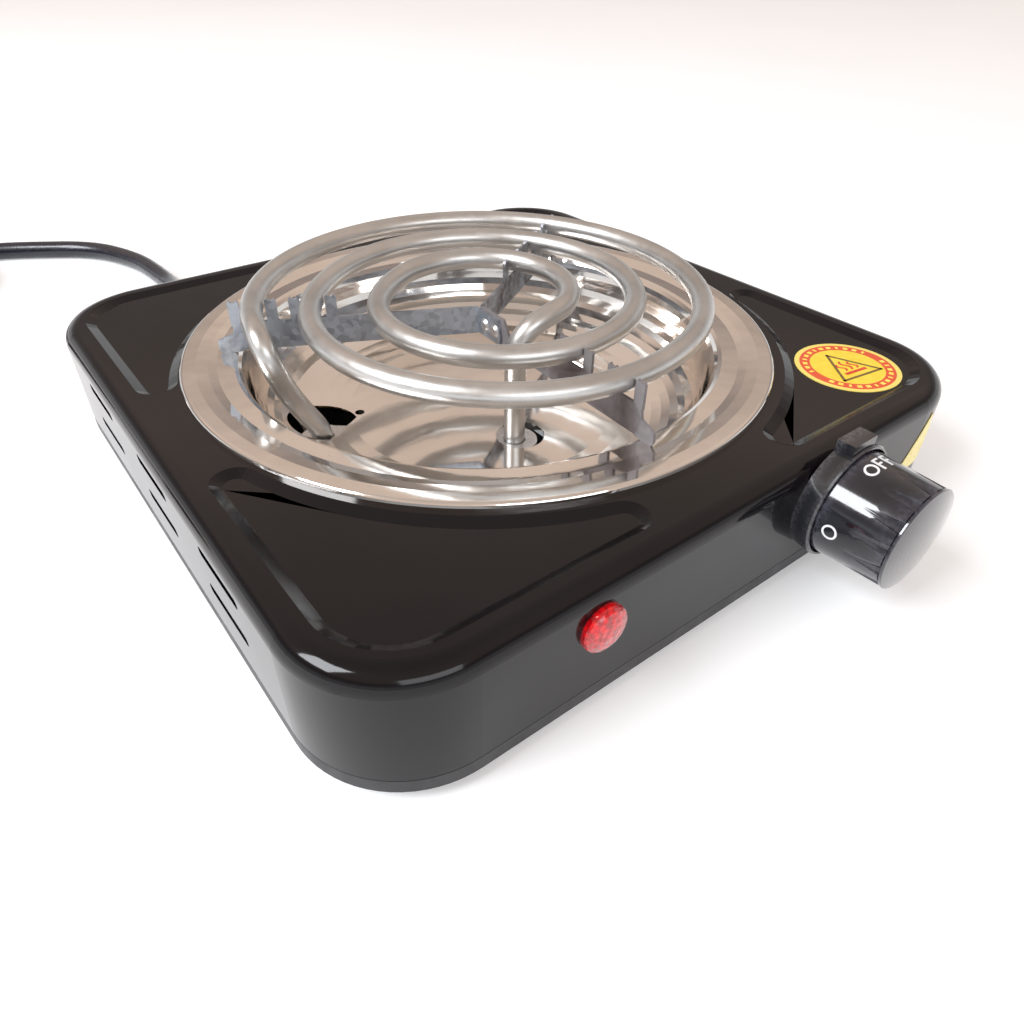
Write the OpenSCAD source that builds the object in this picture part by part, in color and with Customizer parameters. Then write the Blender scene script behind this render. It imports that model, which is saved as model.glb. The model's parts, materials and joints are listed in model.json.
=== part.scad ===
// Single coil hot plate burner: enamelled steel body, chromed drip pan, spiral element on three
// arms, knob with thermostat, indicator lamp and mains lead. Millimetres, +Z up, front at -Y.

/* [Body] */
// Outside width and depth of the square body
body_w = 224; // [222:1:226]
// Corner radius of the body in plan
corner_r = 30; // [29:0.5:31]
// Height of the top panel above the surface
top_z = 40.5; // [40.3:0.1:40.6]
// Depth of the four stamped corner panels
panel_depth = 1.5; // [0.8:0.1:2]
// Height of the rubber feet
foot_h = 4; // [3.6:0.1:4.2]

/* [Element] */
// Outside diameter of the sheathed heating tube
tube_d = 6.8; // [6.4:0.1:7]
// Radius of the outer turn at the middle of the tube
turn_r = 70.4; // [70:0.1:70.8]
// Step inwards from one turn to the next
turn_pitch = 20.9; // [20.5:0.1:21.3]
// Height of the middle of the turns above the surface
turn_z = 56.2; // [56:0.1:56.8]

/* [Drip pan] */
// Outside radius of the rolled rim
pan_r = 94.4; // [93:0.2:94.4]
// Height of the bowl's flat floor above the surface
pan_floor_z = 16; // [15.6:0.1:17]

/* [Controls] */
// How far the knob's front stands out from the body
knob_reach = 27.5; // [27:0.5:29]
// Radius of the knob at its base
knob_r = 15.5; // [15:0.1:15.6]
// Radius of the indicator lens
lens_r = 6.3; // [5.8:0.1:7]

/* [Lead] */
// Diameter of the mains lead
lead_d = 8.5; // [8:0.1:8.5]

/* [Hidden] */

sheet = 0.8;                       // body and base sheet thickness
fit = 0.05;                        // radial clearance of a shaft in its hole
half = body_w / 2;                 // half of the body's width
mid = half - corner_r;             // centre of each corner, from the middle
body_y = knob_reach / 2;           // the middle of the body in Y
front_y = body_y - half;           // outer face of the front wall
back_y = body_y + half;            // outer face of the back wall
rim_h = 4;                         // height of the base plate's visible rim
shell_z = foot_h + rim_h + 0.2;    // lower edge of the shell, over a thin joint line
base_top = foot_h + sheet;         // upper face of the base plate
roll_r = 5.5;                      // radius of the rolled top edge
flat_r = corner_r - roll_r;        // where the roll meets the flat, from the corner centre
plate_half = mid + flat_r - 2;     // half of the flat top plate
burner = [-1.5, body_y + 0.5, 0];  // axis of the element and the pan
opening_r = 88;                    // radius of the opening under the pan
cord_x = -48;
cord_z = 18;
knob_x = 36;
knob_z = 26.5;
lamp_x = -49.5;
lamp_z = 28;

// ---------- helpers ----------

function unit(v) = v / norm(v);
function smooth(x) = let(t = min(max(x, 0), 1)) t * t * (3 - 2 * t);
function arc(c, r, a0, a1, n) = [for (i = [0:n]) let(a = a0 + (a1 - a0) * i / n) c + r * [cos(a), sin(a)]];
function bezier(a, b, c, d, n) =
  [for (i = [0:n]) let(t = i / n, s = 1 - t) s * s * s * a + 3 * s * s * t * b + 3 * s * t * t * c + t * t * t * d];
// A smooth curve through the points of p, with n steps between neighbours
function through(p, n) = let(last = len(p) - 1) concat(
  [for (i = [0:last - 1]) for (k = [0:n - 1])
    let(t = k / n, a = p[max(i - 1, 0)], b = p[i], c = p[i + 1], d = p[min(i + 2, last)])
      0.5 * (2 * b + (c - a) * t + (2 * a - 5 * b + 4 * c - d) * t * t + (3 * b - a - 3 * c + d) * t * t * t)],
  [p[last]]);
function tangents(p) = [for (i = [0:len(p) - 1]) unit(p[min(i + 1, len(p) - 1)] - p[max(i - 1, 0)])];
function across(n, t) = unit(n - (n * t) * t);
// Directions square to a path that follow it without twisting
function normals(t, n, i = 0, done = []) =
  i == len(t) ? done : let(m = across(n, t[i])) normals(t, m, i + 1, concat(done, [m]));

// A round tube swept along the points of p
module tube(p, r, sides = 8, up = [0, 0, 1]) {
  t = tangents(p);
  n = normals(t, up);
  last = len(p) - 1;
  rings = [for (i = [0:last]) for (k = [0:sides - 1])
    let(a = 360 * k / sides) p[i] + r * (cos(a) * n[i] + sin(a) * cross(t[i], n[i]))];
  walls = [for (i = [0:last - 1]) for (k = [0:sides - 1])
    let(a = i * sides + k, b = i * sides + (k + 1) % sides)
      each [[a, a + sides, b + sides], [a, b + sides, b]]];
  start = [for (k = [0:sides - 1]) k];
  end = [for (k = [sides - 1:-1:0]) last * sides + k];
  polyhedron(points = rings, faces = concat([start], walls, [end]));
}

module rod(r, from, to) translate([0, 0, from]) cylinder(r = r, h = to - from, $fn = 64);
module at_body() translate([0, body_y, 0]) children();
module at_burner() translate(burner) children();
// Local Z points out of the front wall and local Y points up
module at_knob() translate([knob_x, front_y, knob_z]) rotate([90, 0, 0]) children();
module at_lamp() translate([lamp_x, front_y, lamp_z]) rotate([90, 0, 0]) children();

module rounded_rect(hx, hy, r) {
  square([2 * hx, 2 * (hy - r)], center = true);
  square([2 * (hx - r), 2 * hy], center = true);
  for (x = [-1, 1])
    for (y = [-1, 1])
      translate([x * (hx - r), y * (hy - r)]) circle(r = r, $fn = 96);
}
module slot(length, width) {
  square([width, length - width], center = true);
  for (s = [-1, 1]) translate([0, s * (length - width) / 2]) circle(r = width / 2, $fn = 48);
}

// Runs a profile, drawn as distance from the corner centre and height, round the body
module around_corners() {
  for (k = [0:3])
    rotate([0, 0, 90 * k]) translate([mid, mid, 0]) rotate_extrude(angle = 90, $fn = 96) children();
}
module along_side(k) {
  rotate([0, 0, 90 * k]) translate([mid, mid, 0]) rotate([90, 0, 0]) linear_extrude(height = 2 * mid) children();
}

// ---------- body ----------

module skin_profile() {
  translate([corner_r - sheet, shell_z]) square([sheet, top_z - roll_r - shell_z]);
  translate([flat_r, top_z - roll_r]) intersection() {
    difference() {
      circle(r = roll_r, $fn = 64);
      circle(r = roll_r - sheet, $fn = 64);
    }
    square(roll_r + 1);
  }
  translate([flat_r - 2, top_z - sheet]) square([2, sheet]);
}

panel_edge = plate_half - 0.5;     // straight sides of a corner panel, from the middle
panel_arc = 96.5;                  // concave side of a corner panel, about the middle
panel_slope = 3;                   // width of its sloped border
panel_tip = 6;                     // fillet radius of its two tips
panel_corner = 20;                 // fillet radius of its outer corner
tip_y = panel_edge - panel_tip;
tip_x = sqrt(pow(panel_arc + panel_tip, 2) - tip_y * tip_y);
tip_a = atan2(tip_y, tip_x);

// Outline of a corner panel, moved inwards by d
function panel_outline(d) = concat(
  arc([panel_edge - panel_corner, panel_edge - panel_corner], panel_corner - d, 0, 90, 10),
  arc([tip_x, tip_y], panel_tip - d, 90, 180 + tip_a, 8),
  [for (i = [1:19]) let(a = tip_a + (90 - 2 * tip_a) * i / 20) (panel_arc + d) * [cos(a), sin(a)]],
  arc([tip_y, tip_x], panel_tip - d, 270 - tip_a, 360, 8));

module corner_tray() {
  n = len(panel_outline(0));
  lap = 0.25;                      // how far the tray runs into the top plate
  outlines = [[-lap, 0], [0, 0], [panel_slope, panel_depth], [panel_slope, panel_depth + sheet], [0, sheet], [-lap, sheet]];
  rings = [for (o = outlines) for (q = panel_outline(o[0])) [q[0], q[1], top_z - o[1]]];
  function strip(i, j) = [for (k = [0:n - 1]) let(m = (k + 1) % n)
    each [[i * n + k, j * n + k, j * n + m], [i * n + k, j * n + m, i * n + m]]];
  floor_up = [for (k = [n - 1:-1:0]) 2 * n + k];
  floor_down = [for (k = [0:n - 1]) 3 * n + k];
  polyhedron(points = rings,
    faces = concat(strip(0, 1), strip(1, 2), [floor_up], [floor_down], strip(3, 4), strip(4, 5), strip(5, 0)));
}

// Three pairs of round-ended slots through a side wall
module vent_slots() {
  for (y = [-51, -3, 46])
    for (z = [20, 32])
      translate([0, y, z]) rotate([0, 90, 0]) linear_extrude(height = 8, center = true) slot(24, 3);
}
module wall_hole(x, y, z, r) translate([x, y, z]) rotate([90, 0, 0]) cylinder(r = r, h = 8, center = true, $fn = 64);

module body_shell() color([0.09, 0.07, 0.07]) {
  at_body() {
    around_corners() skin_profile();
    difference() {
      along_side(0) skin_profile();
      translate([half, 0, 0]) vent_slots();
    }
    difference() {
      along_side(1) skin_profile();
      wall_hole(cord_x, half, cord_z, 7.1);
    }
    difference() {
      along_side(2) skin_profile();
      translate([-half, 0, 0]) vent_slots();
    }
    difference() {
      along_side(3) skin_profile();
      wall_hole(knob_x, -half, knob_z, 5);
      wall_hole(lamp_x, -half, lamp_z, 5.1);
    }
    for (k = [0:3]) rotate([0, 0, 90 * k]) corner_tray();
  }
  translate([0, 0, top_z - sheet]) linear_extrude(height = sheet) difference() {
    translate([0, body_y]) rounded_rect(plate_half, plate_half, flat_r - 2);
    for (k = [0:3]) translate([0, body_y]) rotate(90 * k) polygon(panel_outline(0));
    translate([burner[0], burner[1]]) circle(r = opening_r, $fn = 128);
  }
}

bracket_y = 55;                    // corner brackets, from the middle of the body
bracket_in = 13;                   // their screw holes, from the inner face of the side wall
bracket_z = shell_z + 6;
module at_brackets() at_body()
  for (x = [0, 1])
    for (y = [-1, 1])
      mirror([x, 0, 0]) translate([half - sheet, y * bracket_y, 0]) children();
module corner_brackets() color([0.6, 0.62, 0.64]) at_brackets() translate([0, 0, bracket_z]) {
  translate([-1, -7, 0]) cube([1, 14, 12]);
  difference() {
    union() {
      translate([-17, -7, 0]) cube([16, 14, 1]);
      translate([-bracket_in, 0, 0]) rod(3, 1, 3);
    }
    translate([-bracket_in, 0, 0]) rod(1.5 + fit, -1, 5);
  }
}

foot_at = 82;                      // feet, from the middle of the body
earth_at = [-24, body_y + 80];
module base_plate() color([0.06, 0.06, 0.06]) {
  at_body() {
    rim = [[20, foot_h], [corner_r, foot_h], [corner_r, shell_z - 0.2], [corner_r - 1.4, shell_z - 0.2],
      [corner_r - 1.4, shell_z + 3], [corner_r - 2.2, shell_z + 3], [corner_r - 2.2, shell_z - 0.2 - sheet],
      [corner_r - sheet, shell_z - 0.2 - sheet], [corner_r - sheet, base_top], [20, base_top]];
    around_corners() polygon(rim);
    for (k = [0:3]) along_side(k) polygon(rim);
  }
  translate([0, 0, foot_h]) linear_extrude(height = sheet) difference() {
    translate([0, body_y]) rounded_rect(mid + 20, mid + 20, 20);
    // Cooling slots
    for (x = [-28:14:28])
      for (y = [-24, 24])
        translate([x, body_y + y]) slot(34, 3.5);
    translate([0, body_y]) for (x = [-1, 1])
      for (y = [-1, 1]) {
        translate([x * (half - sheet - bracket_in), y * bracket_y]) circle(r = 1.7, $fn = 48);
        translate([x * foot_at, y * foot_at]) circle(r = 2.6, $fn = 48);
      }
    translate(earth_at) circle(r = 1.55, $fn = 48);
  }
}

// Cross-head screw that points up from its seat at z = 0
module screw(r, length, head_r, head_h) difference() {
  union() {
    translate([0, 0, -head_h]) cylinder(r1 = head_r * 0.8, r2 = head_r, h = head_h, $fn = 48);
    rod(r, 0, length);
  }
  for (a = [0, 90]) rotate(a) translate([0, 0, -head_h]) cube([head_r * 1.1, 0.6, 1.2], center = true);
}
module base_screws() color([0.7, 0.7, 0.72]) at_brackets() translate([-bracket_in, 0, foot_h]) screw(1.5, 15, 2.8, 1.8);

module rubber_feet() color([0.1, 0.1, 0.1]) at_body()
  for (x = [-1, 1])
    for (y = [-1, 1])
      translate([x * foot_at, y * foot_at, 0]) rotate_extrude($fn = 64)
        polygon([[0, 0], [7.2, 0], [8, 0.8], [8.6, foot_h], [2.5, foot_h], [2.5, base_top],
          [4, base_top], [3.6, base_top + 1.4], [1.4, base_top + 4], [0, base_top + 4]]);

// ---------- drip pan ----------

pan_t = 0.6;
seat_z = 41.5;                     // ledge of the pan on which the arms stand
outer_leg = [-55.2, 12.2];           // legs of the element, from the burner's axis
inner_leg = [-5.4, -26];
// Upper surface of the pan from the rim inwards, as radius and height
pan_line = concat(
  [[pan_r, top_z], [pan_r, top_z + 0.9]],
  arc([pan_r - 1.3, top_z + 0.9], 1.3, 30, 90, 4),
  [[89.5, top_z + 2], [86, top_z + 1.5], [83.5, seat_z]],
  bezier([78.5, seat_z], [75, seat_z - 0.6], [75.6, 33], [72.6, 27], 8),
  bezier([71.6, 25], [67, 19], [60.5, pan_floor_z + 0.6], [46, pan_floor_z], 8),
  [[0, pan_floor_z]]);
function pan_under(i) = let(t = unit(pan_line[min(i + 1, len(pan_line) - 1)] - pan_line[i - 1]))
  pan_line[i] + pan_t * [-t[1], t[0]];

module drip_pan() color([0.85, 0.85, 0.86]) at_burner() difference() {
  rotate_extrude($fn = 128) polygon(concat(pan_line,
    [[0, pan_floor_z - pan_t]],
    [for (i = [len(pan_line) - 2:-1:2]) pan_under(i)],
    [[pan_r - pan_t, top_z]]));
  // Half-round opening for the outer leg
  translate([-52, 18, 0]) rotate(-59) difference() {
    cylinder(r = 11.3, h = 30, $fn = 64);
    translate([7.6, -15, -1]) cube([10, 30, 32]);
  }
  translate([inner_leg[0] + 2.4, inner_leg[1], 0]) cylinder(r = 8, h = 30, $fn = 64);
  translate([-38.5, 18, 0]) cylinder(r = 1.6, h = 30, $fn = 32);
}

// ---------- heating element ----------

spiral_start = 159;
function turn_radius(a) = turn_r - turn_pitch * (smooth((a - 244) / 158) + smooth((a - 604) / 158));
function turn_point(a) = [turn_radius(a) * cos(spiral_start - a), turn_radius(a) * sin(spiral_start - a), turn_z];
function turn_way(a) = unit(turn_point(a + 1) - turn_point(a - 1));
first_a = -8;
last_a = 928;
leg_low = 12;                      // lower ends of the tube
coil_from = turn_point(first_a);
coil_to = turn_point(last_a);
coil_path = concat(
  [[outer_leg[0], outer_leg[1], leg_low]],
  bezier([outer_leg[0], outer_leg[1], 14.5], [outer_leg[0], outer_leg[1], 19], [-57.4, 11, 22], [-60.6, 9.2, 27.5], 4),
  bezier([-64.5, 6.9, 35], [-68.5, 5.8, 44], coil_from - 13 * turn_way(first_a) + [0, 0, -1.5],
    coil_from - 2 * turn_way(first_a), 9),
  [for (a = [first_a:6:last_a]) turn_point(a)],
  bezier(coil_to + 2 * turn_way(last_a), coil_to + 13 * turn_way(last_a),
    [inner_leg[0], inner_leg[1] - 2, 58], [inner_leg[0], inner_leg[1], 45], 10),
  [for (z = [38, 24, leg_low]) [inner_leg[0], inner_leg[1], z]]);

module heating_coil() color([0.62, 0.6, 0.56]) at_burner() tube(coil_path, tube_d / 2, 16, [1, 0, 0]);

// Both legs, each with local Y along its push-on tab
module at_legs() at_burner() {
  translate([outer_leg[0], outer_leg[1], 0]) children();
  translate([inner_leg[0], inner_leg[1], 0]) rotate(180) children();
}
seal_h = 2;
tab_z = 8.2;                       // underside of the push-on tabs
tab_t = 0.8;
tab_w = 6.3;
module coil_end_seals() color([0.95, 0.93, 0.88]) at_legs() translate([0, 0, leg_low - seal_h]) difference() {
  rod(tube_d / 2 - 0.3, 0, seal_h);
  rod(1.2 + fit, -1, seal_h + 1);
}
module coil_pins() color([0.72, 0.72, 0.7]) at_legs() {
  rod(1.2, tab_z + tab_t - 0.1, leg_low);
  translate([-tab_w / 2, -3, tab_z]) cube([tab_w, 12, tab_t]);
}

// Strip under the pan with a hole for each leg
module leg_bracket() color([0.72, 0.74, 0.76]) at_burner() {
  run = inner_leg - outer_leg;
  w = 7;                           // half of the strip's width
  translate([0, 0, pan_floor_z - pan_t - sheet]) linear_extrude(height = sheet) difference() {
    union() {
      translate(outer_leg) rotate(atan2(run[1], run[0])) translate([0, -w]) square([norm(run), 2 * w]);
      translate(outer_leg) circle(r = w + 0.5, $fn = 64);
      translate(inner_leg) circle(r = w + 0.5, $fn = 64);
    }
    translate(outer_leg) circle(r = tube_d / 2 + 0.3, $fn = 48);
    translate(inner_leg) circle(r = tube_d / 2 + 0.3, $fn = 48);
    translate((outer_leg + inner_leg) / 2) circle(r = 4, $fn = 48);
  }
}

// A sleeve pushed on to a tab: open at y = 0 and closed at its far end, with the tab's middle at z = 0
receptacle_l = 9;
module receptacle() difference() {
  translate([-3.7, 0, -1.1]) cube([7.4, receptacle_l, 2.2]);
  translate([-tab_w / 2 - 0.1, -1, -0.5]) cube([tab_w + 0.2, 7.5, 1]);
}
blade_tab_x = 6.35;                // tabs of the two blades, to either side of the shaft's axis
contact_v = -8.1;                  // middle of the contact blade's sheet, from the shaft's axis
bimetal_v = -10.2;
blade_tab_back = 27;               // where the receptacles start, behind the front wall
module push_on_receptacles() color([0.82, 0.7, 0.4]) {
  at_legs() translate([0, 3.5, tab_z + tab_t / 2]) receptacle();
  translate([knob_x - blade_tab_x, front_y + blade_tab_back, knob_z + contact_v]) receptacle();
  translate([knob_x + blade_tab_x, front_y + blade_tab_back, knob_z + bimetal_v]) receptacle();
}

// ---------- support arms ----------

arm_t = 0.9;                       // sheet thickness of the arms
arm_low = 42;                      // their lower edge
arm_top = 58;                      // tips of the teeth
arm_web = 51;                      // upper edge between the teeth
left_a = 153.5;
front_a = 267.5;
back_a = 33;
notch_r = tube_d / 2 + 0.4;
tooth_w = 3.5;

// Where turn k of the element crosses the direction dir
function crossing(dir, k) = turn_radius((spiral_start - dir + 720) % 360 + 360 * k);

// One tooth with a pinched tip
module tooth() polygon([[0, arm_web - 1], [tooth_w, arm_web - 1], [tooth_w, arm_top - 0.8], [tooth_w - 0.6, arm_top],
  [tooth_w - 1.2, arm_top - 0.6], [1.2, arm_top - 0.6], [0.6, arm_top], [0, arm_top - 0.8]]);

// Side view of an arm, as distance from the burner's axis and height
module arm_outline(dir, start, teeth_from, turns) difference() {
  union() {
    polygon([[start, arm_low], [75.5, arm_low], [76, seat_z], [82, seat_z], [82.8, seat_z + 1.2],
      [82.6, 45.5], [80, 46.6], [77.6, 47.4], [77, arm_web], [teeth_from, arm_web],
      [teeth_from - 3, 45], [start, 45]]);
    for (k = turns)
      for (s = [-1, 1])
        translate([crossing(dir, k) + s * (notch_r + tooth_w / 2 - 0.1) - tooth_w / 2, 0]) tooth();
  }
  for (k = turns) {
    translate([crossing(dir, k), turn_z]) circle(r = notch_r, $fn = 48);
    translate([crossing(dir, k) - notch_r, turn_z]) square([2 * notch_r, 10]);
  }
}

// Stands a flat shape on edge along the direction dir, its middle plane moved to the left by side
module on_edge(dir, side = 0) rotate([0, 0, dir]) translate([0, side + arm_t / 2, 0]) rotate([90, 0, 0])
  linear_extrude(height = arm_t) children();

rivet_at = [5, 10.5];
rivet_z = 46.5;
rivet_r = 1.2;
module rivet_holes() for (u = rivet_at) translate([u, rivet_z]) circle(r = rivet_r + fit, $fn = 32);

module support_arm_front() color([0.66, 0.7, 0.76]) at_burner() on_edge(front_a) difference() {
  union() {
    arm_outline(front_a, 0.8, 41.5, [0, 1]);
    polygon([[0.8, arm_low], [18, arm_low], [18, 45], [14, arm_web], [0.8, arm_web]]);
  }
  rivet_holes();
}
// A side arm and its flange, which lies against the front arm
module side_arm(dir, side, teeth_from, turns) at_burner() {
  ahead = side * sin(dir - front_a);     // how far along the arm its foot is from the burner's axis
  start = ahead - 0.2;
  rotate([0, 0, front_a]) translate([0, side, 0]) rotate([0, 0, dir - front_a]) on_edge(0) translate([-ahead, 0]) {
    arm_outline(dir, start, teeth_from, turns);
    polygon([[start, 44], [teeth_from, 44], [teeth_from, arm_web], [start, arm_web]]);
    children();
  }
  on_edge(front_a, side) difference() {
    polygon([[-0.6, arm_low + 0.5], [13, arm_low + 0.5], [13.5, 45], [12.5, arm_web - 0.5], [-0.6, arm_web - 0.5]]);
    rivet_holes();
  }
}
module support_arm_left() color([0.66, 0.7, 0.76]) side_arm(left_a, -arm_t, 44.8, [0, 1]);
// The back arm also has a slit plate between its inner two turns
module support_arm_back() color([0.66, 0.7, 0.76]) side_arm(back_a, arm_t, 21, [0, 1, 2]) difference() {
  translate([35.5, 45]) square([7, arm_top - 45.6]);
  for (x = [37.3, 39.9]) translate([x, arm_top - 3]) square([0.8, 4]);
}

module hub_rivets() color([0.8, 0.8, 0.8]) at_burner() rotate([0, 0, front_a]) for (u = rivet_at)
  translate([u, 0, rivet_z]) rotate([90, 0, 0]) {
    cylinder(r = rivet_r, h = 3 * arm_t, center = true, $fn = 32);
    for (s = [0, 1]) mirror([0, 0, s]) translate([0, 0, 1.5 * arm_t]) cylinder(r1 = 2.2, r2 = 1.4, h = 0.8, $fn = 32);
  }

// ---------- knob ----------

bezel_h = 6;                       // how far the bezel stands out from the wall
bezel_r = 17;
bezel_floor = 1.6;
module knob_bezel() color([0.03, 0.03, 0.035]) at_knob() {
  rotate_extrude($fn = 96) polygon([[5.2, 0], [bezel_r - 0.6, 0], [bezel_r, bezel_h - 0.5], [bezel_r - 0.4, bezel_h],
    [bezel_r - 0.9, bezel_h], [bezel_r - 1.1, bezel_h - 0.4], [bezel_r - 1.1, bezel_floor], [5.2, bezel_floor]]);
  // Index lug at the top
  difference() {
    translate([-5, bezel_r - 2, 0]) cube([10, 4.2, bezel_h - 0.8]);
    rod(bezel_r - 0.8, -1, 20);
  }
}

knob_back = bezel_h - 0.9;         // rear edge of the knob, in front of the wall
cap_r = knob_r - 1.1;
cap_h = 2.6;
knob_front = knob_reach - cap_h;   // front face of the knob's body
knob_taper = 0.8 / (knob_front - knob_back);
bore_flat = 2.52;                  // flat of the D bore
flutes = 14;
flute_r = 2.6;                     // radius of a grip flute at the front; it fades out towards the wall
flute_from = 12.5;
module knob_body() color([0.02, 0.02, 0.025]) at_knob() difference() {
  union() {
    difference() {
      translate([0, 0, knob_back])
        cylinder(r1 = knob_r, r2 = knob_r - 0.8, h = knob_front - knob_back, $fn = 96);
      rod(knob_r - 2.8, knob_back - 1, knob_front - 2.4);
      // Grip flutes that deepen towards the front
      for (k = [0:flutes - 1]) rotate(360 * (k + 0.5) / flutes)
        translate([knob_r + 0.7, 0, flute_from])
          cylinder(r1 = 0.8, r2 = flute_r, h = knob_front - flute_from + 1, $fn = 12);
    }
    rod(5, knob_back + 1, knob_front - 1);
  }
  difference() {
    rod(3 + fit, 0, 21);
    translate([-4, bore_flat, -1]) cube([8, 4, 24]);
  }
}
module knob_cap() color([0.05, 0.05, 0.06]) at_knob() rotate_extrude($fn = 96) polygon(concat(
  [[0, knob_front], [cap_r, knob_front], [cap_r + 0.5, knob_front + 0.4], [cap_r + 0.5, knob_front + 0.9]],
  [for (i = [0:8]) let(t = i / 8)
    [(cap_r + 0.2) * (1 - t), knob_front + 1.1 + (cap_h - 1.1) * (1 - pow(1 - t, 2))]]));

// The mark's own X runs round the knob and its Y towards the wall; a is the angle from the top
module at_mark(a) rotate([0, 0, a]) translate([0, 0, 10.4]) rotate([-90, 0, 0]) children();
module bar(x, y, w, h) translate([x - w / 2, y - h / 2, 0]) cube([w, h, 30]);
module ring_mark(r, w) difference() {
  rod(r, 0, 30);
  rod(r - w, -1, 31);
}
module letter_f(x) {
  bar(x, 0, 0.6, 4.2);
  bar(x + 1, 1.8, 2, 0.6);
  bar(x + 0.8, 0.1, 1.6, 0.6);
}
module dial_markings() color([0.95, 0.95, 0.95]) at_knob() intersection() {
  difference() {
    translate([0, 0, knob_back]) cylinder(r1 = knob_r + 0.15, r2 = knob_r - 0.25, h = 9.9, $fn = 96);
    translate([0, 0, knob_back]) cylinder(r1 = knob_r + 0.01, r2 = knob_r - 0.39, h = 9.9, $fn = 96);
  }
  union() {
    // Off at the top, then a low, a half and a full mark, each a quarter turn on
    at_mark(0) {
      translate([-3.9, 0, 0]) ring_mark(1.9, 0.55);
      letter_f(-1);
      letter_f(2.2);
    }
    at_mark(90) ring_mark(2.1, 0.55);
    at_mark(180) {
      ring_mark(2.1, 0.55);
      intersection() {
        rod(1.8, 0, 30);
        bar(1, 0, 2, 5);
      }
    }
    at_mark(270) rod(2.1, 0, 30);
  }
}
module knob_spring() color([0.8, 0.8, 0.82]) at_knob() translate([-1.5, 2.02, 8]) cube([3, 0.48, 11]);

// ---------- thermostat ----------

frame_t = 1.2;
frame_back = 26;                   // how far the frame reaches behind the wall
shaft_r = 3;
cam_w = -14;                       // middle of the cam, behind the wall
cam_low = 4.6;                     // smallest radius of the snail cam
cam_rise = 0.7;
bush_r = 4.8;
module thermostat_shaft() color([0.75, 0.7, 0.5]) at_knob() difference() {
  union() {
    rod(shaft_r, cam_w - 3, 20.5);
    rod(4.2, -5.2, -3.6);
  }
  translate([-4, 2, 5.5]) cube([8, 4, 20]);
}
// Snail cam: its radius grows while the knob turns from off to full
module thermostat_cam() color([0.9, 0.88, 0.8]) at_knob() translate([0, 0, cam_w]) difference() {
  linear_extrude(height = 4, center = true) polygon([for (i = [0:47])
    let(a = 7.5 * i, r = a <= 285 ? cam_low + cam_rise * min(a / 270, 1) : cam_low + cam_rise * (360 - a) / 75)
      r * [cos(-90 + a), sin(-90 + a)]]);
  rod(shaft_r + 0.01, -5, 5);
}
module shaft_bush() color([0.8, 0.68, 0.36]) at_knob() difference() {
  union() {
    rod(bush_r, -sheet - frame_t, 5);
    rod(6.4, -sheet - frame_t - 1.4, -sheet - frame_t);
  }
  rod(shaft_r + fit, -10, 10);
}
module bush_nut() color([0.78, 0.78, 0.78]) at_knob() translate([0, 0, bezel_floor]) difference() {
  cylinder(r = 7.4, h = 2.6, $fn = 6);
  rod(bush_r + fit, -1, 4);
}

pivot_w = -6;                      // the lever's pin, behind the wall
pivot_v = -7.3;
pin_r = 1;
lever_top = -cam_low - 0.2;
frame_x = 15;
module thermostat_frame() color([0.7, 0.72, 0.74]) at_knob() difference() {
  union() {
    translate([-frame_x, -14, -sheet - frame_t]) cube([2 * frame_x, 22, frame_t]);
    for (x = [-frame_x, frame_x - frame_t])
      translate([x, -14, -frame_back]) cube([frame_t, 12, frame_back - sheet]);
    translate([-frame_x, -14, -frame_back]) cube([2 * frame_x, frame_t, frame_back - sheet]);
  }
  rod(bush_r + fit, -10, 1);
  translate([0, pivot_v, pivot_w]) rotate([0, 90, 0]) cylinder(r = pin_r + 0.02, h = 40, center = true, $fn = 32);
  translate([0, 0, -21]) rotate([90, 0, 0]) cylinder(r = 1.3, h = 40, $fn = 32);
}
module lever_pin() color([0.8, 0.8, 0.82]) at_knob() translate([0, pivot_v, pivot_w]) rotate([0, 90, 0]) {
  cylinder(r = pin_r, h = 2 * frame_x, center = true, $fn = 32);
  for (s = [0, 1]) mirror([0, 0, s]) rod(1.7, frame_x, frame_x + 0.8);
}
// The lever rides on the cam and pushes the contact blade down
module follower_lever() color([0.93, 0.9, 0.82]) at_knob() difference() {
  union() {
    translate([0, pivot_v, pivot_w]) rotate([0, 90, 0]) cylinder(r = 2, h = 6, center = true, $fn = 48);
    translate([-3, lever_top - 1.6, -16.6]) cube([6, 1.6, 16.6 + pivot_w]);
  }
  translate([0, pivot_v, pivot_w]) rotate([0, 90, 0]) cylinder(r = pin_r + fit, h = 10, center = true, $fn = 32);
}

stack_w = -21;                     // axis of the switch stack, behind the wall
stack_floor = -14 + frame_t;
module at_stack() at_knob() translate([0, 0, stack_w]) rotate([-90, 0, 0]) children();
module blade(v, t, side, front) difference() {
  union() {
    translate([-3, v - t / 2, stack_w - 4]) cube([6, t, front - stack_w + 4]);
    translate([min(side * 9.5, -3), v - t / 2, stack_w - 4]) cube([12.5, t, 3]);
    translate([side * blade_tab_x - tab_w / 2, v - t / 2, -blade_tab_back - 6]) cube([tab_w, t, 9]);
  }
  translate([0, 0, stack_w]) rotate([90, 0, 0]) cylinder(r = 1.3, h = 30, $fn = 32);
}
module contact_blade() color([0.85, 0.6, 0.4]) at_knob() {
  blade(contact_v, 0.4, -1, -9);
  translate([0, contact_v - 0.2, -11]) rotate([90, 0, 0]) cylinder(r = 1.4, h = 0.6, $fn = 32);
}
module bimetal_blade() color([0.72, 0.62, 0.45]) at_knob() {
  blade(bimetal_v, 0.8, 1, -8.5);
  translate([0, bimetal_v + 0.4, -11]) rotate([-90, 0, 0]) cylinder(r = 1.4, h = 0.5, $fn = 32);
}
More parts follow.
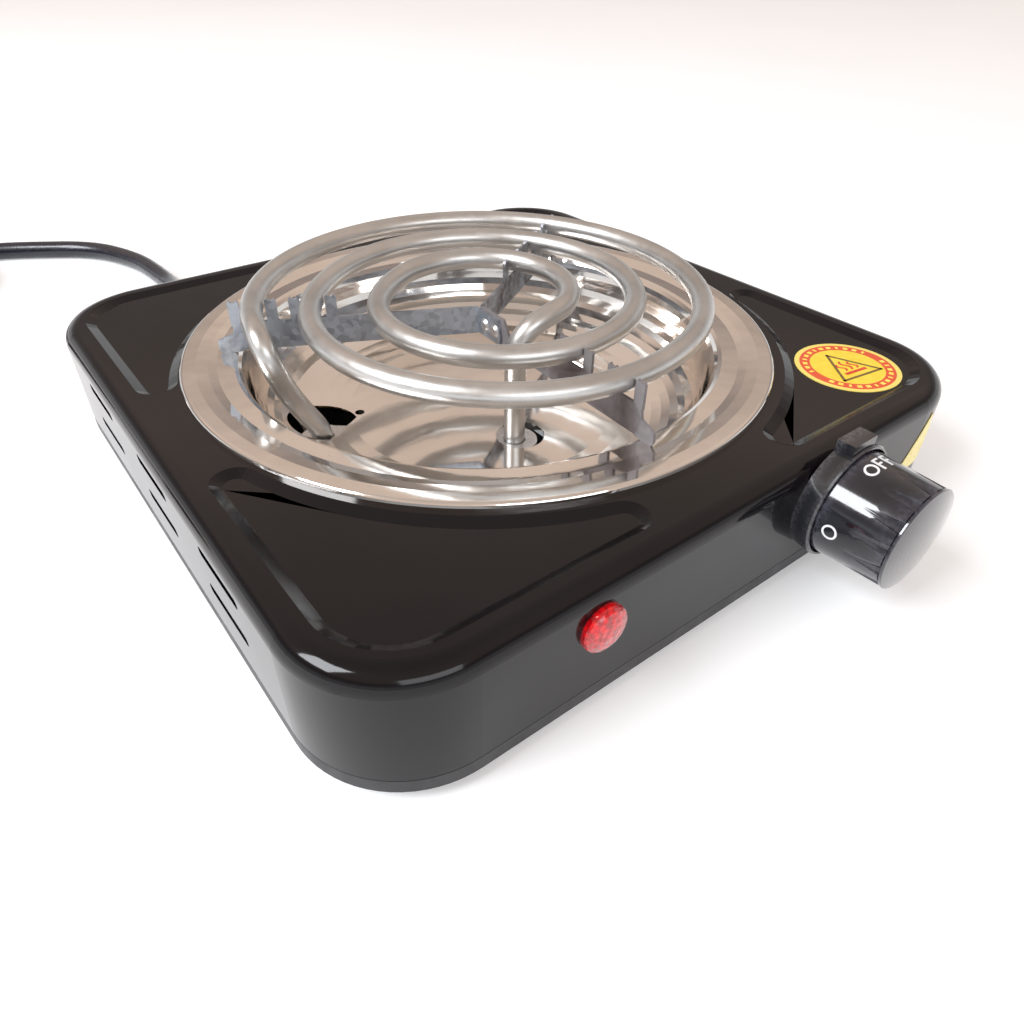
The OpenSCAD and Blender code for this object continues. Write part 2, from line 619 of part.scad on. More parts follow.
// Ceramic washers below, between and above the blades
module stack_washers() color([0.95, 0.94, 0.9]) at_stack()
  for (z = [[stack_floor, bimetal_v - 0.4], [bimetal_v + 0.4, contact_v - 0.2], [contact_v + 0.2, contact_v + 1.8]])
    difference() {
      rod(3.6, z[0], z[1]);
      rod(1.3, z[0] - 1, z[1] + 1);
    }
module stack_rivet() color([0.8, 0.8, 0.8]) at_stack() {
  rod(1.25, -14, contact_v + 1.8);
  rod(2.3, contact_v + 1.8, contact_v + 2.6);
  rod(2.3, -14.9, -14);
}

// ---------- indicator ----------

module indicator_lens() color([0.85, 0.05, 0.08, 0.8]) at_lamp() rotate_extrude($fn = 64) difference() {
  polygon(concat([[0, -9], [5, -9], [5, 0], [lens_r, 0]],
    [for (i = [0:6]) let(a = 15 * i) [lens_r * cos(a), 1.2 + 2.3 * sin(a)]]));
  translate([0, -10]) square([3.9, 10.6]);
}
module lens_clip() color([0.7, 0.7, 0.72]) at_lamp() difference() {
  rod(6.8, -sheet - 0.6, -sheet);
  rod(5 + fit, -2, 1);
}
housing_back = 21;
module indicator_housing() color([0.92, 0.92, 0.9]) at_lamp() difference() {
  rod(5, -housing_back, -9);
  rod(3.9, 1.5 - housing_back, -8);
}
module neon_bulb() color([1, 0.6, 0.4, 0.6]) at_lamp() translate([0, 0, 1.5 - housing_back]) {
  rod(2.4, 0, 13);
  translate([0, 0, 13]) intersection() {
    sphere(r = 2.4, $fn = 48);
    rod(3, 0, 3);
  }
}

// ---------- wiring ----------

block = [cord_x, body_y + 68, base_top + 6];       // middle of the terminal block
block_y = 8;                       // half of its depth
pole_x = [-4, 4];                  // neutral and live pole
module at_poles() for (x = pole_x) translate(block + [x, 0, 0]) children();
module terminal_block() color([0.93, 0.92, 0.88]) difference() {
  translate(block - [11, block_y, 6]) cube([22, 2 * block_y, 12]);
  at_poles() {
    rotate([90, 0, 0]) cylinder(r = 2.6, h = 30, center = true, $fn = 32);
    for (y = [-4, 4]) translate([0, y, 0]) rod(1.55, 0, 10);
  }
}
module terminal_inserts() color([0.8, 0.68, 0.36]) at_poles() difference() {
  rotate([90, 0, 0]) cylinder(r = 2.55, h = 12, center = true, $fn = 32);
  rotate([90, 0, 0]) cylinder(r = 2.1, h = 14, center = true, $fn = 32);
  for (y = [-4, 4]) translate([0, y, 0]) rod(1.45, 0, 5);
}
module terminal_screws() color([0.78, 0.78, 0.8]) at_poles() for (y = [-4, 4]) translate([0, y, 0]) difference() {
  rod(1.4, 1.5, 5.2);
  translate([-2, -0.25, 4.6]) cube([4, 0.5, 2]);
}

wire_r = 1.3;
lead_r = 0.6;
wire_steps = 4;
module wire(p, r = wire_r) tube(through(p, wire_steps), r, 8, [0.1, 0.2, 1]);
inside = block_y - 4;              // how far the wires end from the middle of the block
sheath = [cord_x, body_y + 91.5, cord_z];          // just inside the inner end of the lead's sheath
floor_z = base_top + wire_r + 0.1; // wires that lie on the base plate
tab_mid = tab_z + tab_t / 2;
leg_pull = 3.65 + receptacle_l;    // just behind a leg's receptacle, from the leg
outer_end = [burner[0] + outer_leg[0], burner[1] + outer_leg[1] + leg_pull, tab_mid];
inner_end = [burner[0] + inner_leg[0], burner[1] + inner_leg[1] - leg_pull, tab_mid];
contact_end = [knob_x - blade_tab_x, front_y + blade_tab_back + receptacle_l + 0.6, knob_z + contact_v];
bimetal_end = [knob_x + blade_tab_x, contact_end[1], knob_z + bimetal_v];
lamp_end = [lamp_x, front_y + housing_back + 0.15, lamp_z];

module live_conductor() color([0.45, 0.25, 0.12]) wire([sheath + [1.9, 0, 0.9], sheath + [1.9, -3, 0.9],
  block + [4, block_y + 3.5, 0.8], block + [4, block_y, 0], block + [4, inside, 0]]);
module neutral_conductor() color([0.1, 0.25, 0.6]) wire([sheath + [-1.9, 0, 0.9], sheath + [-1.9, -3, 0.9],
  block + [-4, block_y + 3.5, 0.8], block + [-4, block_y, 0], block + [-4, inside, 0]]);
module earth_conductor() color([0.25, 0.55, 0.2]) wire([sheath + [0, 0, -2], sheath + [0, -2.5, -2],
  sheath + [3, -6.5, -7.5], [-40, earth_at[1] + 1.5, 8.5], [-35, earth_at[1], base_top + 0.82 + wire_r],
  [-28, earth_at[1], base_top + 0.82 + wire_r]]);
module earth_tag() color([0.8, 0.7, 0.4]) translate([earth_at[0], earth_at[1], base_top]) difference() {
  union() {
    rod(3.4, 0, 0.8);
    translate([-10, -2, 0]) cube([8, 4, 0.8]);
  }
  rod(1.5 + fit, -1, 2);
}
module earth_screw() color([0.75, 0.75, 0.75]) translate([earth_at[0], earth_at[1], base_top + 0.8])
  mirror([0, 0, 1]) screw(1.5, 3.2, 2.8, 1.6);

// The wires pass under the pan and lie on the base plate
module thermostat_feed_wire() color([0.85, 0.85, 0.82]) wire([block + [4, -inside, 0], block + [4, -block_y - 2, 0],
  [-38, 58, floor_z + 1.4], [-24, 36, floor_z + 0.3], [-2, 14, floor_z], [20, -6, floor_z + 0.3],
  [36, -28, floor_z + 1.6], [bimetal_end[0], -45, 10.5], [bimetal_end[0], -54, 15], bimetal_end + [0, 3, 0],
  bimetal_end]);
module element_feed_wire() color([0.85, 0.85, 0.82]) wire([contact_end, contact_end + [0, 3, 0], [26, -52, 14.5],
  [18, -47, 9.6], [8, -43, floor_z + 1], [0, -38, floor_z + 0.7], inner_end + [1.6, -7, -0.8],
  inner_end + [1.6, -3, 0], inner_end + [1.6, 0, 0]]);
module element_return_wire() color([0.85, 0.85, 0.82]) wire([outer_end + [1.5, 0, 0], outer_end + [1.5, 4, 0],
  [-54, 50, floor_z + 2.2], block + [-3.3, -block_y - 3, 0], block + [-3.3, -inside, 0]]);
module lamp_leads() color([0.75, 0.3, 0.28]) {
  wire([lamp_end + [2, 0, 0], lamp_end + [2, 5, 0], [-42, -66, 20], [-30, -56, 9], [-18, -48, 7],
    inner_end + [-2, -10, -0.5], inner_end + [-2, -3, 0], inner_end + [-2, 0, 0]], lead_r);
  wire([lamp_end + [-2, 0, 0], lamp_end + [-2, 5, 0], [-58, -64, 20], [-64, -54, 9], [-66, -30, 6], [-66, 10, 6],
    [-65, 34, 6.4], [-61, 52, 7.5], block + [-5.5, -block_y - 6, 0], block + [-5.5, -inside, 0]], lead_r);
}

// ---------- cord anchorage ----------

clamp_y = body_y + 98;
clamp_r = lead_d / 2 + 0.06;
module at_clamp() translate([cord_x, clamp_y, cord_z]) children();
module along_cord(r, length) rotate([90, 0, 0]) cylinder(r = r, h = length, center = true, $fn = 64);
module cord_clamp_base() color([0.2, 0.2, 0.2]) at_clamp() difference() {
  translate([-14, -4, base_top - cord_z]) cube([28, 8, cord_z - base_top - 0.1]);
  along_cord(clamp_r, 20);
  for (x = [-10, 10]) translate([x, 0, 0]) rod(1.25 + fit, -9, 1);
}
module cord_clamp_strap() color([0.2, 0.2, 0.2]) at_clamp() difference() {
  union() {
    translate([-14, -4, 0.1]) cube([28, 8, 2.4]);
    along_cord(clamp_r + 2, 8);
  }
  translate([-20, -10, -19.9]) cube([40, 20, 20]);
  along_cord(clamp_r, 20);
  for (x = [-10, 10]) translate([x, 0, 0]) rod(1.25 + fit, -1, 4);
}
module clamp_screws() color([0.75, 0.75, 0.75]) at_clamp() for (x = [-10, 10])
  translate([x, 0, 2.5]) mirror([0, 0, 1]) screw(1.25, 9, 2.4, 1.6);

relief_l = 28;
module strain_relief() color([0.05, 0.05, 0.06]) translate([cord_x, back_y, cord_z]) rotate([-90, 0, 0]) difference() {
  rotate_extrude($fn = 64) polygon([[0, -4], [9, -4], [9, -sheet], [7, -sheet], [7, 0], [9, 0], [9, 2], [7.6, 3],
    [7.2, 6], [6.2, 17], [5.6, relief_l - 0.5], [5.2, relief_l], [0, relief_l]]);
  rod(lead_d / 2 + fit, -10, 60);
  // Flat that clears the base plate's rim
  translate([-10, 6.6, -5]) cube([20, 5, 5 - sheet]);
}

// ---------- mains lead ----------

lie = 4.3;                         // height of the lead's middle where it lies on the surface
lift = 4.8;                        // the same in the coil, over the tie
// Route of the lead from inside the body to the outer turn of the coil
lead_route = [
  [-48, 106, 18], [-48, 116, 18], [-48, 126, 18], [-48, 140, 18], [-48, 154, 18], [-48, 165, 17.1],
  [-48, 176, 14.4], [-48, 187, 10.8], [-48, 198, 7.4], [-48, 210, 5.2], [-48, 222, lie], [-49, 238, lie],
  [-51, 254, lie], [-56, 270, lie], [-63, 284, lie], [-73, 295, lie], [-86, 304, lie], [-99, 312, lie],
  [-113, 319, lie], [-127, 326, lie], [-142, 333, 4.5], [-157, 338.5, lift]];
coil_at = [-176, 291, 0];
coil_r = 47;                       // middle of the turns
// Route from the top of the coil to the plug
lead_tail = [
  [-223, 272, 12.2], [-223, 258, 11.8], [-223, 246, 10.2], [-223, 234, 7.8], [-223, 222, 5.6], [-223, 211, 4.7],
  [-223, 200, 5.2], [-223, 190, 7], [-223, 181, 9.2], [-223, 174, 10.5], [-223, 168.05, 10.6]];
module power_cord() color([0.04, 0.04, 0.08]) {
  tube(lead_route, lead_d / 2, 12);
  tube(lead_tail, lead_d / 2, 12);
}

// Section of the wound coil: two turns below and one above, between d from their outer edge
bundle = 8.5;                      // half of the section's width
module coil_section(d) translate([coil_r, 0]) polygon([[-bundle - d + 2, 0.5 - d], [bundle + d - 2, 0.5 - d],
  [bundle + d, 2.5], [bundle + d, 7], [4.4 + d, 15.4 + d], [2.4, 16.6 + d], [-2.4, 16.6 + d], [-4.4 - d, 15.4 + d],
  [-bundle - d, 7], [-bundle - d, 2.5]]);
module cord_coil() color([0.04, 0.04, 0.08]) translate(coil_at) rotate_extrude($fn = 96) coil_section(0);
module cord_tie() color([0.15, 0.15, 0.16]) translate(coil_at) rotate([0, 0, 290])
  rotate_extrude(angle = 9, $fn = 96) difference() {
    coil_section(0.5);
    coil_section(0.1);
  }

plug = [-223, 168, 10.6];          // where the lead goes into the plug
module at_plug() translate(plug) rotate([90, 0, 0]) children();
plug_l = 42;
module plug_body() color([0.04, 0.04, 0.05]) at_plug() {
  cylinder(r1 = 5, r2 = 6.6, h = 13, $fn = 64);
  hull() {
    translate([0, 0, 12]) cylinder(r = 6.5, h = 0.5, $fn = 32);
    translate([0, 0, 18]) linear_extrude(height = 0.5) square([20, 14], center = true);
  }
  translate([0, 0, 18]) linear_extrude(height = plug_l - 18) rounded_rect(14, 10.5, 4);
}
module plug_blades() color([0.85, 0.75, 0.4]) at_plug() for (y = [-6.35, 6.35])
  translate([-7.2, y - 0.75, plug_l]) cube([6.3, 1.5, 16.5]);
module plug_earth_pin() color([0.85, 0.75, 0.4]) at_plug() translate([7.9, 0, 0]) {
  rod(2.4, plug_l, plug_l + 17);
  translate([0, 0, plug_l + 17]) cylinder(r1 = 2.4, r2 = 1.4, h = 1.8, $fn = 48);
}

// ---------- labels ----------

label_t = 0.2;
module caution_label() color([0.95, 0.85, 0.1]) translate([81, body_y - 84.2, 0])
  rod(16.2, top_z - panel_depth, top_z - panel_depth + label_t);
// Triangular label that wraps round the front right corner
module side_label() color([0.95, 0.9, 0.5]) intersection() {
  translate([0, body_y, 0]) union() {
    translate([mid - 12, -half - 0.03 - label_t, 0]) cube([12, label_t, top_z]);
    translate([mid, -mid, 0]) rotate([0, 0, -90]) rotate_extrude(angle = 45, $fn = 96)
      translate([corner_r + 0.03, 0]) square([label_t, top_z]);
  }
  translate([76, 0, 15.5]) rotate([90, 0, 0]) linear_extrude(height = 200)
    polygon([[0, 0], [20.5, 0], [10.5, 18.2]]);
}

body_shell();
corner_brackets();
base_plate();
base_screws();
rubber_feet();
drip_pan();
heating_coil();
coil_end_seals();
coil_pins();
leg_bracket();
push_on_receptacles();
support_arm_left();
support_arm_front();
support_arm_back();
hub_rivets();
knob_bezel();
knob_body();
knob_cap();
dial_markings();
knob_spring();
thermostat_shaft();
thermostat_cam();
shaft_bush();
bush_nut();
thermostat_frame();
follower_lever();
lever_pin();
contact_blade();
bimetal_blade();
stack_washers();
stack_rivet();
indicator_lens();
lens_clip();
indicator_housing();
neon_bulb();
terminal_block();
terminal_inserts();
terminal_screws();
live_conductor();
neutral_conductor();
earth_conductor();
earth_tag();
earth_screw();
thermostat_feed_wire();
element_feed_wire();
element_return_wire();
lamp_leads();
cord_clamp_base();
cord_clamp_strap();
clamp_screws();
strain_relief();
power_cord();
cord_coil();
cord_tie();
plug_body();
plug_blades();
plug_earth_pin();
caution_label();
side_label();
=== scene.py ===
import json
import math
import bpy
from mathutils import Matrix, Vector


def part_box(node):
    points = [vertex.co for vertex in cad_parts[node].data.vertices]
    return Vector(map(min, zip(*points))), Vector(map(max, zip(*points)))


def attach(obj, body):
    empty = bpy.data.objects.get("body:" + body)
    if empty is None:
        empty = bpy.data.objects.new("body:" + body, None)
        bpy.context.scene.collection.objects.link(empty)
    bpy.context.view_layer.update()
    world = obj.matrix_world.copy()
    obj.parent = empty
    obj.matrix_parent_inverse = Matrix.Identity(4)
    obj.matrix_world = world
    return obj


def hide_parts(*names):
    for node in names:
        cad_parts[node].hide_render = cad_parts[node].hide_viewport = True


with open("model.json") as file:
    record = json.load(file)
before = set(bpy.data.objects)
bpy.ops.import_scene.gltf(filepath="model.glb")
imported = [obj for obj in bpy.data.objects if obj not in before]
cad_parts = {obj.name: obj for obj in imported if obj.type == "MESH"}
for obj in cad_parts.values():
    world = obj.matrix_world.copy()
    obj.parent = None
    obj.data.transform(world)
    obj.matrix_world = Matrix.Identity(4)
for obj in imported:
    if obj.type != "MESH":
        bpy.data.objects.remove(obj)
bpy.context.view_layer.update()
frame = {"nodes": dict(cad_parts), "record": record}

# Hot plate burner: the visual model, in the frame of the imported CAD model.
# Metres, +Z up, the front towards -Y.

scene = bpy.context.scene
nodes = frame["nodes"]
MM = 0.001

# ---------- camera ----------

CAMERA_AT = Vector((-0.13535, -0.17545, 0.150))
AZIMUTH, ELEVATION, ROLL = (math.radians(a) for a in (-38.007, 38.493, 0.8065))
LENS, SENSOR = 26.353, 36.0


def make_camera():
    back = Vector((math.sin(AZIMUTH) * math.cos(ELEVATION), -math.cos(AZIMUTH) * math.cos(ELEVATION),
                   math.sin(ELEVATION)))
    right0 = (-back).cross(Vector((0, 0, 1))).normalized()
    up0 = right0.cross(-back)
    right = math.cos(ROLL) * right0 + math.sin(ROLL) * up0
    up = back.cross(right)
    turn = Matrix((right, up, back)).transposed().to_4x4()
    data = bpy.data.cameras.new("camera")
    data.lens = LENS
    data.sensor_width = SENSOR
    data.clip_start, data.clip_end = 0.01, 50
    cam = bpy.data.objects.new("camera", data)
    scene.collection.objects.link(cam)
    cam.matrix_world = Matrix.Translation(CAMERA_AT) @ turn
    scene.camera = cam


make_camera()

# ---------- small tools ----------


def smooth_line(points, steps):
    """Catmull-Rom curve through the points, with the given number of steps between neighbours."""
    pts = [Vector(p) for p in points]
    out = []
    for i in range(len(pts) - 1):
        a = pts[i - 1] if i else pts[0] * 2 - pts[1]
        b, c = pts[i], pts[i + 1]
        d = pts[i + 2] if i + 2 < len(pts) else c * 2 - b
        for k in range(steps):
            t = k / steps
            out.append(0.5 * (2 * b + (c - a) * t + (2 * a - 5 * b + 4 * c - d) * t ** 2
                              + (3 * b - a - 3 * c + d) * t ** 3))
    return out + [pts[-1]]


def new_mesh(name, verts, faces, sharp=None):
    """A mesh that rides on the housing, flat shaded, or smooth up to the angle sharp."""
    data = bpy.data.meshes.new(name)
    data.from_pydata([tuple(v) for v in verts], [], faces)
    data.update()
    obj = bpy.data.objects.new(name, data)
    scene.collection.objects.link(obj)
    if sharp:
        for p in data.polygons:
            p.use_smooth = True
        data.set_sharp_from_angle(angle=sharp)
    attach(obj, "housing")
    return obj


def tube(name, line, radius, sides):
    """Round tube along a line, with closed ends. The frame is carried along the line without twist."""
    line = [Vector(p) for p in line]
    ways = [(line[min(i + 1, len(line) - 1)] - line[max(i - 1, 0)]).normalized() for i in range(len(line))]
    side = ways[0].orthogonal().normalized()
    verts, faces = [], []
    for i, (p, w) in enumerate(zip(line, ways)):
        side = (side - w * side.dot(w)).normalized()
        other = w.cross(side)
        for k in range(sides):
            a = 2 * math.pi * k / sides
            verts.append(p + radius * (math.cos(a) * side + math.sin(a) * other))
    for i in range(len(line) - 1):
        for k in range(sides):
            n = (k + 1) % sides
            faces.append((i * sides + k, i * sides + n, (i + 1) * sides + n, (i + 1) * sides + k))
    faces.append(tuple(reversed(range(sides))))
    faces.append(tuple(range((len(line) - 1) * sides, len(line) * sides)))
    return new_mesh(name, verts, faces, sharp=math.radians(50))


# ---------- mains lead ----------

CORD_D = 8.5 * MM
LEAD_ROUTE = [
    (-0.048, 0.106, 0.018), (-0.048, 0.116, 0.018), (-0.048, 0.126, 0.018), (-0.048, 0.140, 0.018),
    (-0.048, 0.154, 0.018), (-0.048, 0.165, 0.0171), (-0.048, 0.176, 0.0144), (-0.048, 0.187, 0.0108),
    (-0.048, 0.198, 0.0074), (-0.048, 0.210, 0.0052), (-0.048, 0.222, 0.0043), (-0.049, 0.238, 0.0043),
    (-0.051, 0.254, 0.0043), (-0.056, 0.270, 0.0043), (-0.063, 0.284, 0.0043), (-0.073, 0.295, 0.0043),
    (-0.086, 0.304, 0.0043), (-0.099, 0.312, 0.0043), (-0.113, 0.319, 0.0043), (-0.127, 0.326, 0.0043),
    (-0.142, 0.333, 0.0045)]
LEAD_TAIL = [
    (-0.223, 0.272, 0.0122), (-0.223, 0.258, 0.0118), (-0.223, 0.246, 0.0102), (-0.223, 0.234, 0.0078),
    (-0.223, 0.222, 0.0056), (-0.223, 0.211, 0.0047), (-0.223, 0.200, 0.0052), (-0.223, 0.190, 0.0070),
    (-0.223, 0.181, 0.0092), (-0.223, 0.174, 0.0105), (-0.223, 0.16805, 0.0106)]
COIL_AT = (-0.176, 0.291)
OUTER_R, INNER_R, TOP_R = 51.25 * MM, 42.75 * MM, 47 * MM
LOW_Z, TOP_Z = 4.8 * MM, 12.4 * MM


def ease(t):
    t = min(max(t, 0.0), 1.0)
    return t * t * (3 - 2 * t)


def coil_point(a):
    """Middle of the lead at the angle a along the coil: outer turn, inner turn, then the one on top."""
    r = OUTER_R + (INNER_R - OUTER_R) * ease((a - 335) / 60)
    r += (TOP_R - INNER_R) * ease((a - 650) / 45)
    z = LOW_Z + (TOP_Z - LOW_Z) * ease((a - 610) / 70)
    z += 1.0 * MM * (ease((a - 675) / 30) - ease((a - 765) / 30))
    return (COIL_AT[0] + r * math.cos(math.radians(a)), COIL_AT[1] + r * math.sin(math.radians(a)), z)


def make_cord():
    turns = [coil_point(a) for a in range(78, 900, 12)]
    pts = smooth_line(LEAD_ROUTE + turns + [coil_point(898)] + LEAD_TAIL, 4)
    obj = tube("mains_lead", pts, CORD_D / 2, 20)
    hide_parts("power_cord", "cord_coil")
    return obj


cord_obj = make_cord()

# ---------- materials ----------


class Maker:
    """One material, built from noise in the object's own coordinates."""

    def __init__(self, name):
        self.mat = bpy.data.materials.new(name)
        self.mat.use_nodes = True
        self.tree = self.mat.node_tree
        self.shader = self.tree.nodes["Principled BSDF"]
        self.place = self.node("ShaderNodeTexCoord").outputs["Object"]

    def node(self, kind, **inputs):
        n = self.tree.nodes.new(kind)
        for k, v in inputs.items():
            n.inputs[k].default_value = v
        return n

    def link(self, a, b):
        self.tree.links.new(a, b)

    def noise(self, scale, detail=4.0, rough=0.55):
        n = self.node("ShaderNodeTexNoise", Scale=scale, Detail=detail, Roughness=rough)
        self.link(self.place, n.inputs["Vector"])
        return n.outputs["Fac"]

    def cells(self, scale, output="Color"):
        n = self.node("ShaderNodeTexVoronoi", Scale=scale)
        self.link(self.place, n.inputs["Vector"])
        return n.outputs[output]

    def spread(self, value, low, high, to_low, to_high):
        n = self.node("ShaderNodeMapRange")
        n.inputs["From Min"].default_value = low
        n.inputs["From Max"].default_value = high
        n.inputs["To Min"].default_value = to_low
        n.inputs["To Max"].default_value = to_high
        self.link(value, n.inputs["Value"])
        return n.outputs["Result"]

    def mix(self, fac, a, b):
        n = self.node("ShaderNodeMix")
        n.data_type = "RGBA"
        for value, name in ((fac, 0), (a, 6), (b, 7)):
            if hasattr(value, "links"):
                self.link(value, n.inputs[name])
            else:
                n.inputs[name].default_value = value if name == 0 else (*value[:3], 1)
        return n.outputs[2]

    def times(self, a, b):
        n = self.node("ShaderNodeMath")
        n.operation = "MULTIPLY"
        self.link(a, n.inputs[0])
        if hasattr(b, "links"):
            self.link(b, n.inputs[1])
        else:
            n.inputs[1].default_value = b
        return n.outputs[0]

    def edges(self):
        """1 on sharp outside edges."""
        g = self.node("ShaderNodeNewGeometry")
        return self.spread(g.outputs["Pointiness"], 0.52, 0.58, 0.0, 1.0)

    def finish(self, color, rough, bumps=(), metal=0.0, coat=0.0, spec=0.5, glow=0.0, clear=0.0):
        s = self.shader
        self.link(color, s.inputs["Base Color"])
        self.link(rough, s.inputs["Roughness"])
        s.inputs["Metallic"].default_value = metal
        s.inputs["Coat Weight"].default_value = coat
        s.inputs["Coat Roughness"].default_value = 0.05
        s.inputs["Specular IOR Level"].default_value = spec
        s.inputs["Transmission Weight"].default_value = clear
        if glow:
            self.link(color, s.inputs["Emission Color"])
            s.inputs["Emission Strength"].default_value = glow
        last = None
        for height, strength, distance in bumps:
            b = self.node("ShaderNodeBump", Strength=strength, Distance=distance)
            self.link(height, b.inputs["Height"])
            if last:
                self.link(last, b.inputs["Normal"])
            last = b.outputs["Normal"]
        if last:
            self.link(last, s.inputs["Normal"])
        return self.mat


def plain(name, a, b, scale, rough, bump=0.1, bump_scale=1500, metal=0.0, worn=None, **more):
    """Two close tones in patches, patchy gloss, a fine relief, and a worn tone on the edges."""
    m = Maker(name)
    patches = m.noise(scale)
    color = m.mix(m.spread(patches, 0.35, 0.65, 0, 1), a, b)
    if worn:
        grit = m.noise(scale * 9, 2)
        color = m.mix(m.times(m.edges(), m.spread(grit, 0.4, 0.6, 0.2, 0.9)), color, worn)
    gloss = m.spread(m.noise(scale * 2.3, 3), 0.3, 0.7, rough[0], rough[1])
    return m.finish(color, gloss, [(m.noise(bump_scale, 3), bump, 0.0002)], metal=metal, **more)


def enamel(name):
    m = Maker(name)
    patches = m.spread(m.noise(22, 3), 0.35, 0.65, 0, 1)
    tone = m.mix(patches, (0.0022, 0.0018, 0.0028), (0.0045, 0.0034, 0.0050))
    dust = m.spread(m.noise(2600, 1), 0.74, 0.82, 0, 0.12)
    tone = m.mix(dust, tone, (0.12, 0.12, 0.13))
    gloss = m.spread(m.noise(60, 4), 0.3, 0.7, 0.07, 0.13)
    relief = [(m.noise(90, 2), 0.025, 0.0008), (m.noise(900, 2), 0.015, 0.0002)]
    return m.finish(tone, gloss, relief, spec=0.36)


def chrome(name):
    m = Maker(name)
    tone = m.mix(m.spread(m.noise(30, 3), 0.3, 0.7, 0, 1), (0.80, 0.76, 0.72), (0.90, 0.87, 0.84))
    specks = m.spread(m.noise(1800, 1), 0.74, 0.80, 0, 0.5)
    tone = m.mix(specks, tone, (0.25, 0.22, 0.20))
    gloss = m.spread(m.noise(45, 4), 0.3, 0.7, 0.045, 0.10)
    return m.finish(tone, gloss, [(m.noise(55, 2), 0.10, 0.0012), (m.noise(700, 2), 0.02, 0.0002)], metal=1.0)


def spangle(name, low, high, rust=0.0):
    """Hot-dipped zinc: crystal patches of different tone and gloss."""
    m = Maker(name)
    crystals = m.cells(520)
    value = m.node("ShaderNodeRGBToBW")
    m.link(crystals, value.inputs[0])
    tone = m.mix(m.spread(value.outputs[0], 0.2, 0.8, 0, 1), low, high)
    if rust:
        stain = m.spread(m.noise(170, 6, 0.7), 0.50 - 0.25 * rust, 0.62, 0, 1)
        tone = m.mix(stain, tone, (0.045, 0.020, 0.014))
    tone = m.mix(m.times(m.edges(), 0.3), tone, (0.6, 0.63, 0.67))
    gloss = m.spread(value.outputs[0], 0.2, 0.8, 0.34, 0.52)
    return m.finish(tone, gloss, [(value.outputs[0], 0.12, 0.0002), (m.noise(1400, 3), 0.2, 0.0001)],
                    metal=0.8 if rust < 0.3 else 0.15, spec=0.5 if rust < 0.3 else 0.25)


def sheath(name):
    """Dull nickel-alloy sheath with faint heat tints."""
    m = Maker(name)
    tone = m.mix(m.spread(m.noise(38, 4), 0.35, 0.65, 0, 1), (0.56, 0.56, 0.55), (0.70, 0.70, 0.69))
    tint = m.spread(m.noise(16, 2), 0.55, 0.72, 0, 0.45)
    tone = m.mix(tint, tone, (0.56, 0.50, 0.43))
    scuff = m.spread(m.noise(650, 3, 0.6), 0.62, 0.80, 0, 0.25)
    tone = m.mix(scuff, tone, (0.36, 0.34, 0.32))
    gloss = m.spread(m.noise(240, 4), 0.3, 0.7, 0.30, 0.42)
    relief = [(m.noise(3200, 2), 0.12, 0.00006), (m.noise(70, 2), 0.10, 0.0006)]
    return m.finish(tone, gloss, relief, metal=1.0)


CAUTION = Vector((0.081, -0.07045))


def ring_label(name):
    """Round label: pale edge, orange-red ring, yellow middle."""
    m = Maker(name)
    off = m.node("ShaderNodeVectorMath")
    off.operation = "DISTANCE"
    flat = m.node("ShaderNodeVectorMath")
    flat.operation = "MULTIPLY"
    flat.inputs[1].default_value = (1, 1, 0)
    m.link(m.place, flat.inputs[0])
    m.link(flat.outputs[0], off.inputs[0])
    off.inputs[1].default_value = (CAUTION.x, CAUTION.y, 0)
    r = off.outputs["Value"]
    soft = 0.12 * MM
    yellow = m.mix(m.spread(m.noise(300, 3), 0.35, 0.65, 0, 1), (0.93, 0.70, 0.03), (0.98, 0.78, 0.06))
    in_ring = m.spread(r, 11.4 * MM, 11.4 * MM + soft, 0, 1)
    tone = m.mix(in_ring, yellow, (0.80, 0.09, 0.02))
    middle = m.spread(r, 14.6 * MM, 14.6 * MM + soft, 0, 1)
    tone = m.mix(middle, tone, (0.95, 0.80, 0.18))
    gloss = m.spread(m.noise(200, 3), 0.3, 0.7, 0.18, 0.30)
    return m.finish(tone, gloss, [(m.noise(500, 2), 0.08, 0.0003)], coat=0.4)


def lens(name):
    m = Maker(name)
    tone = m.mix(m.spread(m.cells(700, "Distance"), 0.1, 0.7, 0, 1), (0.80, 0.004, 0.010), (0.34, 0.0, 0.004))
    gloss = m.spread(m.noise(300, 2), 0.3, 0.7, 0.04, 0.10)
    prisms = m.cells(620, "Distance")
    return m.finish(tone, gloss, [(prisms, 0.7, 0.0005)], coat=1.0, clear=0.20, glow=0.22)


